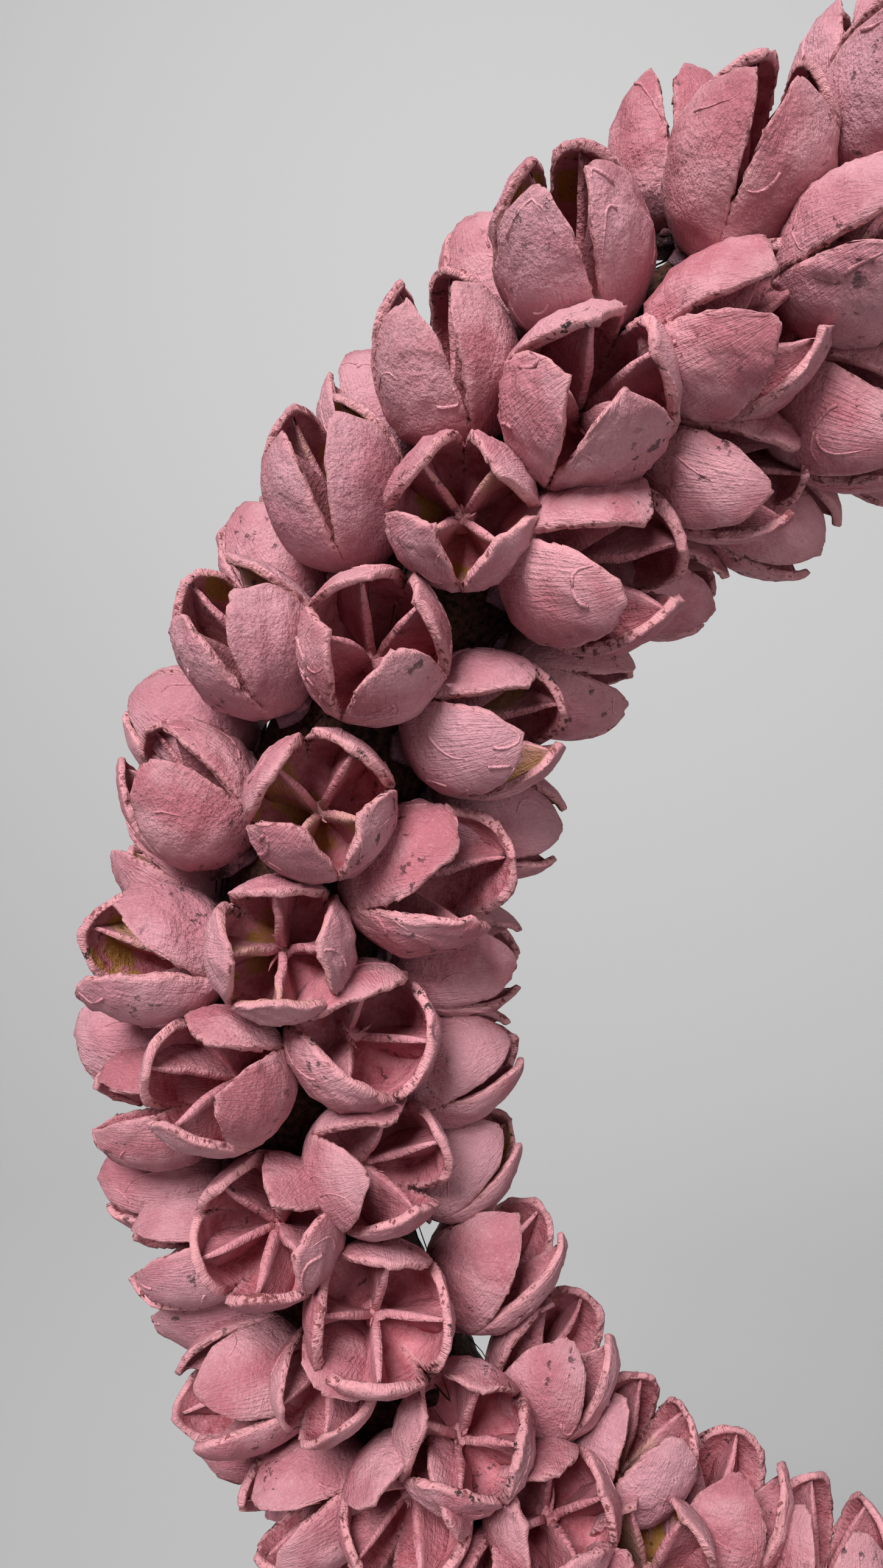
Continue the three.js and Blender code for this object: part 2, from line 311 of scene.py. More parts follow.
def wire_ring(centre, radius, wire, axis, steps, sides):
    """A torus: a circle of wire swept round an axis, 1 for Y or 0 for X, which turn opposite ways."""
    along = np.linspace(0, 2 * np.pi, steps, endpoint=False)[:, None]
    around = np.linspace(0, 2 * np.pi, sides, endpoint=False)[None, :]
    reach = radius + wire * np.cos(around)
    flat = [reach * np.cos(along), reach * np.sin(along)]
    deep = wire * np.sin(around) + 0 * along
    stacked = [flat[0], deep, flat[1]] if axis == 1 else [deep, flat[0], flat[1]]
    points = np.stack(stacked, -1) + np.asarray(centre)
    triangles = grid_triangles(steps + 1, sides, wrap=True) % (steps * sides)
    if axis == 0:
        triangles = triangles[:, ::-1]
    return points.reshape(-1, 3), triangles


def twisted_neck():
    """Two strands wound round each other from the tie up to the eye."""
    t = np.linspace(0, 1, 40)
    paths = []
    for half in (0, np.pi):
        turn = half + 5 * np.pi * t
        x = STRAND_REACH * np.cos(turn)
        y = EYE_DEPTH - 0.6 + STRAND_REACH * np.sin(turn)
        z = RING_RADIUS - 1 + (EYE_HEIGHT - EYE_RADIUS - RING_RADIUS + 1.6) * t
        paths.append(np.stack([x, y, z], -1))
    return tubes(np.array(paths), STRAND_WIRE, 10)


def joined(*parts):
    """Several point and triangle lists as one."""
    points, triangles, total = [], [], 0
    for part_points, part_triangles in parts:
        points.append(part_points)
        triangles.append(part_triangles + total)
        total += len(part_points)
    return np.concatenate(points), np.concatenate(triangles)


wire_finish = wire_material()
hoop_points, hoop_triangles = wire_ring((0, HOOP_DEPTH, 0), RING_RADIUS, HOOP_WIRE, 1, 200, 14)
make_piece("wire_hoop_steel", hoop_points, hoop_triangles, wire_finish, ["wire_hoop"])
loop_points, loop_triangles = joined(
    wire_ring((-TIE_WIRE, 0, RING_RADIUS), TIE_RADIUS, TIE_WIRE, 0, 72, 10),
    wire_ring((TIE_WIRE, 0, RING_RADIUS), TIE_RADIUS, TIE_WIRE, 0, 72, 10),
    wire_ring((0, EYE_DEPTH, EYE_HEIGHT), EYE_RADIUS, TIE_WIRE, 1, 64, 12),
    twisted_neck(),
)
make_piece("hanging_loop_wire", loop_points, loop_triangles, wire_finish, ["hanging_loop"])

# ---------------------------------------------------------------------------
# Seed pods. Each is a woody capsule about 28 mm tall, split from its tip into
# valves joined in a cup, each with a thin partition, round a broken stalk. They
# are dipped whole in chalky dusty pink paint and glued to the coir by the foot.

POD_RADIUS = 13.2
POD_HEIGHT = 28.5
POD_LIFT = 14.5
WAIST = 0.47
LOW_ROUND = 2.3
HIGH_ROUND = 1.86
WALL = 1.9
RIM_WALL = 1.45
FLOOR_FILL = 5.0
FLOOR_REACH = 0.36
OPENS_OVER = 0.42
NARROWED = 0.07
PODS_IN_A_RUN = 3

# Threads of paint on a valve: most have none to two; these pods, by row and
# number, were dipped while the paint was stringy.
STRINGY = {(3, 6): 8, (4, 5): 5, (3, 7): 3, (2, 3): 3}

# A row's place round the ring's section and its count; then the pods listed
# one by one, from the top of the ring down its left side. Each of these says where
# the pod stands along the ring and round its section, how it leans onward and
# across, its size, its valves, how far it spreads, the turn of its first
# valve, how far its valves have opened, how much of their tips is missing and
# how far its foot stands off the row's height. Angles are in degrees.
ROWS = {
    "outer": (90, 36, [
        (97, 84, -16, 4, 0.95, 4, 0.95, 30, 6, 0.04, 0),
        (108, 84, -12, 4, 1.00, 4, 0.95, 20, 6, 0.04, 0),
        (119, 84, -20, 2, 0.95, 4, 0.95, 35, 6, 0.04, 3),
        (130, 86, -12, 8, 0.95, 4, 0.95, 0, 4, 0.03, 1),
        (141, 92, -20, 6, 0.91, 4, 0.97, 25, 7, 0.04, 1),
        (152, 92, -22, 4, 0.95, 4, 0.97, 10, 6, 0.04, 0),
        (163, 90, -10, 0, 0.95, 4, 1.00, 20, 6, 0.04, 2),
        (173, 94, -20, 4, 0.91, 4, 1.00, 55, 9, 0.05, 0),
        (183, 84, -4, 0, 0.95, 3, 1.00, 110, 9, 0.05, 2),
        (193, 80, -10, 4, 0.91, 4, 0.97, 25, 10, 0.05, 2),
        (202, 76, -14, 8, 0.86, 4, 0.97, 75, 12, 0.05, 0),
        (211, 74, -12, 6, 0.91, 4, 0.97, 75, 12, 0.06, 0),
        (220, 78, -14, 4, 0.91, 4, 0.97, 75, 12, 0.06, 0),
    ]),
    "outer_front": (52, 36, [
        (97, 48, -16, -4, 1.00, 4, 0.95, 5, 6, 0.04, 0),
        (108, 42, -10, -10, 1.05, 4, 0.93, 15, 6, 0.04, 1),
        (118, 42, -26, -10, 1.07, 4, 0.93, 5, 5, 0.04, 1),
        (127, 50, -14, -14, 1.05, 4, 0.93, 35, 9, 0.04, 2),
        (137, 54, -26, -6, 1.00, 4, 0.95, 35, 9, 0.05, 0),
        (147, 57, -34, -8, 1.00, 4, 0.97, 15, 12, 0.05, 1),
        (157, 56, -30, -12, 1.00, 4, 1.00, 10, 9, 0.07, 1),
        (168, 58, -38, -4, 0.98, 4, 1.00, 65, 12, 0.06, 1),
        (177, 58, -20, -10, 0.95, 3, 1.06, 30, 17, 0.07, 1),
        (187, 58, -12, 4, 0.88, 4, 1.00, 65, 13, 0.06, 1),
        (197, 54, -14, 10, 0.86, 4, 0.97, 70, 12, 0.06, 0),
        (207, 48, -20, 2, 0.93, 4, 1.00, 30, 14, 0.08, 0),
        (216, 44, -20, 2, 0.93, 4, 1.00, 60, 14, 0.08, 0),
    ]),
    "front": (4, 36, [
        (96, 4, -24, 4, 0.95, 4, 0.97, 50, 7, 0.04, 0),
        (105, 2, -18, 6, 1.00, 4, 0.97, 50, 6, 0.04, 0),
        (114, -10, -20, 8, 1.05, 4, 0.95, 35, 7, 0.04, 0),
        (124, -8, -34, -4, 1.00, 4, 1.00, 10, 11, 0.05, 0),
        (132, -2, -18, 2, 1.07, 4, 1.00, 70, 9, 0.07, 0),
        (141, 5, -6, -6, 0.95, 4, 1.00, 85, 10, 0.12, 0),
        (153, -1, -26, 2, 0.99, 4, 1.00, 50, 14, 0.08, 0),
        (164, -5, -22, -4, 0.97, 4, 1.03, 75, 10, 0.14, 0),
        (174, -2, -16, -6, 0.94, 4, 1.06, 10, 11, 0.13, 0),
        (184, 20, -18, -8, 0.95, 4, 1.06, 75, 14, 0.11, 0),
        (195, 10, -20, -12, 0.97, 5, 1.06, 65, 10, 0.18, 0),
        (206, 8, -6, -8, 0.76, 3, 1.00, 5, 10, 0.06, 0),
        (217, 0, -8, -2, 0.94, 4, 1.00, 85, 12, 0.14, -1),
        (227, 2, -14, -8, 0.91, 4, 1.02, 0, 12, 0.10, 0),
    ]),
    "inner_front": (-46, 30, [
        (97, -44, -22, 4, 0.95, 4, 0.97, 80, 7, 0.04, 0),
        (108, -50, -26, 6, 0.95, 4, 0.97, 70, 7, 0.04, 0),
        (118, -60, -30, 10, 1.05, 4, 0.95, 55, 6, 0.04, 0),
        (128, -60, -30, 14, 0.97, 4, 0.95, 50, 9, 0.05, 0),
        (140, -50, -26, 12, 1.10, 4, 1.03, 60, 11, 0.07, 0),
        (155, -58, -28, 8, 1.02, 4, 1.00, 40, 9, 0.07, 0),
        (168, -60, -20, 12, 1.02, 3, 1.04, 115, 18, 0.07, 0),
        (181, -44, -18, 10, 0.98, 3, 1.06, 75, 9, 0.17, 0),
        (192, -42, -18, 2, 0.94, 4, 1.04, 0, 12, 0.11, 0),
        (204, -27, -20, 0, 0.98, 4, 1.06, 60, 11, 0.17, 0),
        (217, -34, -24, -2, 0.95, 4, 1.06, 35, 13, 0.12, 0),
        (227, -44, -20, 2, 0.95, 4, 1.04, 55, 8, 0.14, 0),
        (238, -52, -28, -6, 0.95, 4, 1.02, 55, 12, 0.10, 0),
    ]),
    "inner": (-92, 30, [
        (101, -90, -18, 2, 0.91, 4, 0.95, 45, 9, 0.04, 0),
        (113, -94, -24, 2, 0.91, 4, 0.95, 35, 9, 0.04, 0),
        (125, -90, -22, 4, 0.94, 4, 0.95, 15, 9, 0.04, 3),
        (136, -92, -24, -2, 0.91, 4, 0.97, 20, 10, 0.05, 2),
        (148, -90, -24, 0, 0.91, 4, 0.97, 35, 10, 0.05, 3),
        (161, -88, -10, -2, 0.93, 4, 0.95, 80, 7, 0.05, 4),
        (175, -88, -6, -4, 0.91, 4, 0.97, 85, 13, 0.05, 3),
        (187, -86, -18, -6, 0.95, 4, 0.97, 65, 6, 0.05, 4),
        (198, -90, -24, -6, 0.88, 4, 0.97, 70, 7, 0.06, 4),
        (209, -86, -28, -4, 0.95, 4, 1.00, 65, 17, 0.05, 3),
        (221, -86, -28, 4, 0.95, 4, 1.00, 85, 14, 0.05, 3),
        (232, -88, -18, 4, 0.95, 4, 1.00, 25, 13, 0.08, 3),
        (243, -90, -16, -2, 0.95, 4, 1.00, 80, 14, 0.07, 3),
        (254, -92, -12, 4, 0.95, 4, 1.00, 25, 14, 0.07, 3),
    ]),
}
POD_WORDS = (
    "along", "around", "lean_on", "lean_across", "size", "valves", "spread",
    "turn", "open", "missing", "lift",
)


def smooth(x):
    """Goes from 0 to 1 as x does, level at both ends."""
    x = np.clip(x, 0, 1)
    return x * x * (3 - 2 * x)


def chance(row, place, which):
    """A repeatable number from 0 to 1: the broken part of a large sine."""
    value = math.sin(row * 12.9898 + place * 78.233 + which * 37.719) * 43758.5453
    return value - math.floor(value)


def sway(row, place, which, reach):
    """A repeatable number from -reach to reach."""
    return (2 * chance(row, place, which) - 1) * reach


def pods_of(row, around, count, chosen):
    """The row's pods: those listed, then the rest at an even pitch, each swayed a little."""
    pods = [dict(zip(POD_WORDS, pod), fine=True) for pod in chosen]
    first, last = chosen[0][0], chosen[-1][0]
    rest = count - len(chosen)
    pitch = (360 - (last - first)) / (rest + 1)
    for place in range(len(chosen), count):
        values = (
            last + (place - len(chosen) + 1) * pitch + sway(row, place, 1, 1.2),
            around + sway(row, place, 2, 5),
            -20 + sway(row, place, 3, 11),
            sway(row, place, 4, 9),
            0.95 + sway(row, place, 5, 0.05),
            3 if chance(row, place, 6) < 0.2 else 4,
            1.00 + sway(row, place, 7, 0.05),
            sway(row, place, 8, 60),
            11 + sway(row, place, 9, 6),
            0.08 + sway(row, place, 10, 0.04),
            0,
        )
        pods.append(dict(zip(POD_WORDS, values), fine=False))
    return pods


def closed_outline():
    """Half outline of the closed pod, two squared-off quarter ellipses meeting at the waist: its arc
    length from foot to tip as 0 to 1, the radius, height and slope there, and its whole length in mm."""
    q = np.linspace(-np.pi / 2, np.pi / 2, 801)
    power = np.where(q < 0, 2 / LOW_ROUND, 2 / HIGH_ROUND)
    deep = np.where(q < 0, WAIST, 1 - WAIST) * POD_HEIGHT
    radius = POD_RADIUS * np.abs(np.cos(q)) ** power
    height = WAIST * POD_HEIGHT + np.sign(q) * deep * np.abs(np.sin(q)) ** power
    step = np.hypot(np.diff(radius), np.diff(height))
    arc = np.concatenate([[0], np.cumsum(step)])
    slope = np.unwrap(np.arctan2(np.gradient(height, arc), np.gradient(radius, arc)))
    slope[0], slope[-1] = 0, np.pi
    return arc / arc[-1], radius, height, slope, arc[-1]


OUTLINE_ARC, OUTLINE_RADIUS, OUTLINE_HEIGHT, OUTLINE_SLOPE, OUTLINE_LENGTH = closed_outline()


def valve_surface(s, u, split, bend, half, curl):
    """Point and outward normal on a valve, in the pod's own x, y, z with the valve's middle along x.

    s runs from foot to tip and u from edge to edge, -1 to 1. The middle line follows the closed
    outline, turned outwards by bend above the split; across it the wall is an arc of the closed
    radius, a little narrower and drawn in by curl. Below the split it is the closed pod itself."""
    radius = np.interp(s, OUTLINE_ARC, OUTLINE_RADIUS)
    height = np.interp(s, OUTLINE_ARC, OUTLINE_HEIGHT)
    slope = np.interp(s, OUTLINE_ARC, OUTLINE_SLOPE)
    opened = smooth((s - split) / OPENS_OVER)
    turned = bend * opened
    level = slope - turned
    step = np.diff(s, axis=0) * OUTLINE_LENGTH
    middle = (level[1:] + level[:-1]) / 2
    shift_r = np.concatenate([np.zeros_like(s[:1]), np.cumsum(step * np.cos(middle), axis=0)])
    shift_z = np.concatenate([np.zeros_like(s[:1]), np.cumsum(step * np.sin(middle), axis=0)])
    above = s > split
    reach = np.where(above, radius[:1] + shift_r, radius)
    rise = np.where(above, height[:1] + shift_z, height)
    arc_radius = np.maximum(radius * (1 - curl * opened), 0.4)
    angle = u * half * (1 - NARROWED * opened) * radius / arc_radius
    inward = arc_radius * (np.cos(angle) - 1)
    x = reach + inward * np.cos(turned)
    y = arc_radius * np.sin(angle)
    z = rise - inward * np.sin(turned)
    n_flat = np.sin(slope) * np.cos(angle)
    n_up = -np.cos(slope)
    normal = np.stack([
        n_flat * np.cos(turned) + n_up * np.sin(turned),
        np.sin(slope) * np.sin(angle),
        n_up * np.cos(turned) - n_flat * np.sin(turned),
    ], -1)
    return np.stack([x, y, z], -1), normal


def turned_about_axis(vectors, angle):
    """Vectors turned about z."""
    c, s = math.cos(angle), math.sin(angle)
    x, y = vectors[..., 0], vectors[..., 1]
    return np.stack([c * x - s * y, s * x + c * y, vectors[..., 2]], -1)


class Shape:
    """Collects a run's surfaces: points, triangles, and for each point its finish and its grain."""

    def __init__(self):
        self.points, self.triangles, self.finish, self.grain, self.total = [], [], [], [], 0

    def add(self, points, triangles, finish, grain=None):
        count = points.size // 3
        self.points.append(points.reshape(-1, 3))
        self.triangles.append(triangles + self.total)
        self.finish.append(np.broadcast_to(finish, points.shape[:-1] + (4,)).reshape(-1, 4))
        self.grain.append(np.zeros((count, 2)) if grain is None else grain.reshape(-1, 2))
        self.total += count

    def whole(self):
        return [np.concatenate(part) for part in (self.points, self.triangles, self.finish, self.grain)]


def add_valves(shape, pod, place, rng, seed):
    """The pod's walls. Each valve is one closed skin: outside, inside and a crumbled rim between them.
    Returns what partitions and threads need of each valve: its angle, its bend, the arc lengths at
    which its middle leaves the cup and ends, and the grid of points of its free outside."""
    low_rows, high_rows, cells = (5, 20, 12) if pod["fine"] else (4, 10, 7)
    count = pod["valves"]
    half = np.pi / count
    splits = 0.30 + 0.08 * rng.uniform(-1, 1, count + 1)
    splits[-1] = splits[0]
    even = np.linspace(-1, 1, cells + 1)
    u = 0.35 * np.sin(even * np.pi / 2) + 0.65 * even
    valves = []
    for k in range(count):
        bend = math.radians(pod["open"] * rng.uniform(0.7, 1.3))
        curl = rng.uniform(-0.02, 0.14)
        end = 0.96 - pod["missing"] * rng.uniform(0.6, 1.5)
        pointed = rng.uniform(0.01, 0.06)
        lopsided = rng.uniform(-0.02, 0.02)
        ragged = 0.007 * np.sin(u * 7 + rng.uniform(0, 6)) + 0.004 * np.sin(u * 15 + rng.uniform(0, 6))
        gap = (splits[k] + splits[k + 1]) / 2 + u * (splits[k + 1] - splits[k]) / 2 + 0.05 * (1 - u**2)
        shoulders = 0.16 * (1 - np.sqrt(1 - 0.94 * u**2))
        last = end - pointed * u**2 - shoulders + lopsided * u + ragged
        low = np.linspace(0, 1, low_rows + 1)[:, None] * gap
        high = gap + (last - gap) * np.linspace(0, 1, high_rows + 1)[:, None]
        angle = math.radians(pod["turn"]) + 2 * np.pi * k / count
        low_sheets = wall_sheets(low, u, gap, bend, half, curl, angle, pod, seed)
        high_sheets = wall_sheets(high, u, gap, bend, half, curl, angle, pod, seed)
        add_cup(shape, low, u, low_sheets, angle, pod, place)
        add_rimmed(shape, high, u, high_sheets, angle, pod, place, seed)
        valves.append((angle, bend, gap[cells // 2], end - 0.02, high_sheets[0]))
    return valves


def wall_sheets(s, u, gap, bend, half, curl, angle, pod, seed):
    """Outside and inside points of a valve for arc lengths s and edges u, in the pod's x, y, z: the
    wall's thickness apart, which is less towards the tip and more over the floor. Only the outside
    has lumps and wrinkles."""
    spot, normal = valve_surface(s, u[None, :] + 0 * s, gap[None, :], bend, half, curl)
    spot, normal = turned_about_axis(spot, angle), turned_about_axis(normal, angle)
    lumps = 0.34 * waves(spot + seed, 11, seed) + 0.13 * waves(spot + seed, 3.2, seed + 1)
    lengthwise = spot * [2.2, 2.2, 0.35]
    lumps = (lumps + pod["wrinkled"] * waves(lengthwise + seed, 4.5, seed + 2)) * smooth(s / 0.08)
    wall = WALL - (WALL - RIM_WALL) * smooth((s - 0.55) / 0.4)
    wall = wall * (1 + 0.10 * waves(spot + seed, 7, seed + 3))
    wall = wall + FLOOR_FILL * smooth(1 - s / FLOOR_REACH)
    return spot + normal * lumps[..., None], spot - normal * wall[..., None]


def pod_finish(inside, rim, base, pod):
    """What the paint reads at each point: how far it is inside the pod, on a rim and near the foot, and
    the pod's own shade, all from 0 to 1. Nearness to the foot sets the painted shade at the foot and
    down in the cup."""
    inside, rim, base = np.broadcast_arrays(inside, rim, base)
    return np.stack([inside, rim, base, np.full(rim.shape, pod["shade"])], -1)


def add_cup(shape, s, u, sheets, angle, pod, place):
    """The unsplit part below a valve: an outside and an inside sheet that meet their neighbours'."""
    outside, inside = sheets
    # Nearness to the foot: it sets the foot's colour and the painted shade down in the cup.
    base = smooth(1 - s / 0.32)
    grain = np.stack([u[None, :] * 0.8 + 0 * s + angle, s * 3], -1)
    triangles = grid_triangles(len(s), len(u))
    shape.add(place(outside), triangles, pod_finish(0, 0, base, pod), grain)
    shape.add(place(inside), triangles[:, ::-1], pod_finish(1, 0, base, pod), grain)


# The lines of points along a valve's edge: how far each is through the wall,
# how far it stands out in mm, and how far inside the paint takes it to be.
EDGE_LINES = ((0.22, 0.40, 0.1), (0.55, 0.55, 0.5), (0.85, 0.36, 0.9))


def edge_strip(outside, inside, neighbour, start, seed):
    """The lines of points between a valve's outside and inside edge, pushed out and crumbled."""
    away = outside - neighbour
    away = away / (np.linalg.norm(away, axis=-1, keepdims=True) + 1e-9)
    strip = []
    for share, push, _ in EDGE_LINES:
        point = outside * (1 - share) + inside * share
        rough = 1 + 1.6 * waves(point + seed, 1.7, seed + 5)[..., None]
        strip.append(point + away * push * start * rough)
    return np.stack(strip, axis=1)


def add_rimmed(shape, s, u, sheets, angle, pod, place, seed):
    """The free part of a valve: outside, edge, inside and edge make one tube, closed across its tip,
    where a last row of points is drawn in and roughened."""
    outside, inside = sheets
    cells, lines = len(u) - 1, len(EDGE_LINES)
    start = smooth(np.linspace(0, 1, len(s)) / 0.08)[:, None]
    right = edge_strip(outside[:, -1], inside[:, -1], outside[:, -2], start, seed)
    left = edge_strip(outside[:, 0], inside[:, 0], outside[:, 1], start, seed + 1)
    loop = np.concatenate([outside, right, inside[:, ::-1], left[:, ::-1]], axis=1)
    tip = (outside[-1] + inside[-1]) / 2
    tip_right, tip_left = np.repeat(tip[-1:], lines, 0), np.repeat(tip[:1], lines, 0)
    middle = np.concatenate([tip, tip_right, tip[::-1], tip_left])
    up = loop[-1] - loop[-2]
    up = up / (np.linalg.norm(up, axis=-1, keepdims=True) + 1e-9)
    rough = 0.35 + 0.25 * waves(loop[-1] + seed, 1.8, seed + 6)[..., None]
    loop = np.concatenate([loop, (loop[-1] * 0.6 + middle * 0.4 + up * rough)[None]])
    rows, width = loop.shape[:2]

    inwards = [depth for _, _, depth in EDGE_LINES]
    within = np.concatenate([np.zeros(cells + 1), inwards, np.ones(cells + 1), inwards[::-1]])
    beside = np.concatenate([u, [1.1] * lines, u[::-1], [1.1] * lines])
    rim = smooth((np.abs(beside) - 0.93) / 0.1)[None, :] * np.concatenate([start, [[1.0]]])
    rim = np.maximum(rim, smooth((np.arange(rows) - (rows - 3)) / 2)[:, None])
    rise = np.concatenate([s, s[-1:]])
    rise_right, rise_left = np.repeat(rise[:, -1:], lines, 1), np.repeat(rise[:, :1], lines, 1)
    rise = np.concatenate([rise, rise_right, rise[:, ::-1], rise_left], 1)
    across = np.concatenate([u, [1.05, 1.1, 1.15], u[::-1], [-1.05, -1.1, -1.15]])
    grain = np.stack([across[None, :] * 0.8 + 0 * rise + angle, rise * 3], -1)

    top = (rows - 1) * width
    j = np.arange(cells)
    far = 2 * cells + lines + 1
    back = top + far - j
    cap = [
        np.stack([top + j, top + j + 1, back], -1),
        np.stack([top + j + 1, back - 1, back], -1),
    ]
    for first in (cells, far):
        ring = top + (first + np.arange(lines + 2)) % width
        cap.append(ring[[[0, 1, 4], [1, 2, 4], [2, 3, 4]]])
    triangles = np.concatenate([grid_triangles(rows, width, wrap=True), *cap])
    shape.add(place(loop), triangles, pod_finish(within[None, :], rim, smooth(1 - rise / 0.22), pod), grain)


def add_partition(shape, pod, place, rng, seed, valve):
    """The blade down a valve's middle: a ruled sheet from the wall to an edge that rises up the pod's
    axis and then runs back to the tip, bowed and torn a little. It has two faces, which flare out
    where they meet the wall, and a closed border."""
    angle, bend, split, end, _ = valve
    rows, cols = (14, 5) if pod["fine"] else (9, 3)
    t = np.linspace(0, 1, rows)[:, None]
    s = 0.05 + (end - 0.07) * t
    spot, normal = valve_surface(s, 0 * s, np.full((1, 1), split), bend, np.pi / pod["valves"], 0)
    wall = (spot - normal * (WALL - 0.6))[:, 0]
    peak = rng.uniform(0.30, 0.42)
    off_axis = 0.3 + 2.2 * rng.uniform() * bend
    centre = np.array([off_axis, 0, POD_HEIGHT * rng.uniform(0.25, 0.33)])
    floor = np.array([0.2, 0, WALL * 0.8])
    rising = smooth(t / peak)
    falling = np.clip((t - peak) / (1 - peak), 0, 1)
    run = wall[-1] - centre
    bow = rng.uniform(-1.8, 0.6) * np.sin(np.pi * falling) * run[[2, 1, 0]] * [1, 0, -1] / 20
    edge = np.where(t < peak, floor + (centre - floor) * rising, centre + run * falling + bow)
    torn = 0.45 * waves(edge + seed, 3, seed + 8)[:, None] * smooth((1 - t) / 0.2) * smooth(t / 0.2)
    edge = edge + torn * [0.7, 0, 0.7]
    share = np.linspace(0, 1, cols)[None, :, None]
    sheet = wall[:, None] * (1 - share) + edge[:, None] * share
    sway = 0.35 * waves(sheet + seed, 16, seed + 9) * share[..., 0]
    flare = 2.8 * (1 - share[..., 0]) ** 2.5 * smooth((1 - t) / 0.4)
    thick = (0.72 + flare) * smooth((1.25 - t) / 0.6)
    side = np.array([0, 1.0, 0])
    one = sheet + (sway + thick)[..., None] * side
    other = sheet + (sway - thick)[..., None] * side
    flat = sheet + sway[..., None] * side
    loop = np.concatenate([one, other[:, ::-1]], axis=1)
    ends = np.concatenate([flat, flat[:, ::-1]], axis=1)
    loop = np.concatenate([ends[:1], loop, ends[-1:]])
    at_edge = np.concatenate([share[0, :, 0], share[0, ::-1, 0]])[None, :] + np.zeros((rows + 2, 1))
    finish = pod_finish(0.9 - 0.5 * at_edge, 0.3 * (at_edge == 1), 0 * at_edge, pod)
    grain = np.stack([at_edge, np.linspace(0, 3, rows + 2)[:, None] + 0 * at_edge], -1)
    triangles = grid_triangles(rows + 2, 2 * cols, wrap=True)
    shape.add(place(turned_about_axis(loop, angle)), triangles, finish, grain)


def add_stalk(shape, pod, place, rng, seed):
    """The broken stalk in the middle: a ridged stump, thinner upwards, with a ridge to each partition
    and a hollow broken end, and a few splinters round it."""
    rows, cols = (8, 12) if pod["fine"] else (4, 8)
    turn = np.linspace(0, 2 * np.pi, cols, endpoint=False)[None, :]
    t = np.linspace(0, 1, rows)[:, None]
    tall = POD_HEIGHT * rng.uniform(0.25, 0.35)
    ridges = 1 + 0.28 * np.cos(pod["valves"] * (turn - math.radians(pod["turn"])))
    radius = (3.3 - 1.3 * t) * ridges * (1 + 0.25 * np.sin(3 * turn + 5 * t + seed))
    radius = radius * np.where(t == 1, 0.8, 1)
    height = WALL * 0.6 + tall * t + 0.9 * t**3 * np.sin(2 * turn + seed) + 0.5 * t**3 * np.sin(5 * turn)
    points = np.stack([radius * np.cos(turn), radius * np.sin(turn), height], -1)
    points = np.concatenate([
        np.repeat(points[:1].mean(1, keepdims=True), cols, 1),
        points,
        np.repeat(points[-1:].mean(1, keepdims=True) - [0, 0, 0.8], cols, 1),
    ])
    at_top = np.concatenate([[[0.0]], t, [[1.0]]]) + 0 * turn
    finish = pod_finish(0.7 - 0.4 * at_top, 0.5 * at_top, 0 * at_top, pod)
    shape.add(place(points), grid_triangles(rows + 2, cols, wrap=True), finish)
    splinters = int(rng.integers(2, 6)) if pod["fine"] else 1
    lean = rng.uniform(0, 2 * np.pi, (splinters, 1))
    rise = np.linspace(0, 1, 4)[None, :]
    length = rng.uniform(2.5, 6.5, (splinters, 1))
    out = 0.8 + rng.uniform(0.1, 0.9, (splinters, 1)) * length * rise
    paths = np.stack([
        out * np.cos(lean + 0.3 * rise),
        out * np.sin(lean + 0.3 * rise),
        WALL + tall * 0.8 + length * rise * rng.uniform(0.3, 1, (splinters, 1)),
    ], -1)
    points, triangles = tubes(paths, rng.uniform(0.3, 0.6, splinters), 4, taper=0.9)
    shape.add(place(points), triangles, pod_finish(np.full(len(points), 0.4), 0.5, 0, pod))


# What a thread moves on at least, in mm, so that no tube stands still where its
# path is held at the border of the grid.
CREEP = 0.001


def add_threads(shape, pod, place, rng, outside, count):
    """Threads of paint drawn over a valve: each sets off at a random heading across the grid of points
    of the outside and curves; between grid points its place is the mean weighted by distance."""
    if count == 0:
        return
    t = np.linspace(0, 1, 9)[None, :]
    heading = rng.uniform(0, 2 * np.pi, (count, 1)) + rng.uniform(-1.6, 1.6, (count, 1)) * t
    length = rng.uniform(0.15, 0.6, (count, 1))
    up = rng.uniform(0.25, 0.85, (count, 1)) + length * t * np.cos(heading)
    over = rng.uniform(0.15, 0.85, (count, 1)) + length * t * np.sin(heading)
    rows, cols = outside.shape[:2]
    r = np.clip(up, 0.02, 0.97) * (rows - 1)
    c = np.clip(over, 0.04, 0.96) * (cols - 1)
    row, col = r.astype(int), c.astype(int)
    above, beside = (r - row)[..., None], (c - col)[..., None]
    low = outside[row, col] * (1 - beside) + outside[row, col + 1] * beside
    high = outside[row + 1, col] * (1 - beside) + outside[row + 1, col + 1] * beside
    paths = low * (1 - above) + high * above
    paths = paths + CREEP * t[..., None]
    points, triangles = tubes(paths, rng.uniform(0.16, 0.38, count), 5, taper=0.7)
    shape.add(place(points), triangles, pod_finish(np.zeros(len(points)), 0.2, 0, pod))


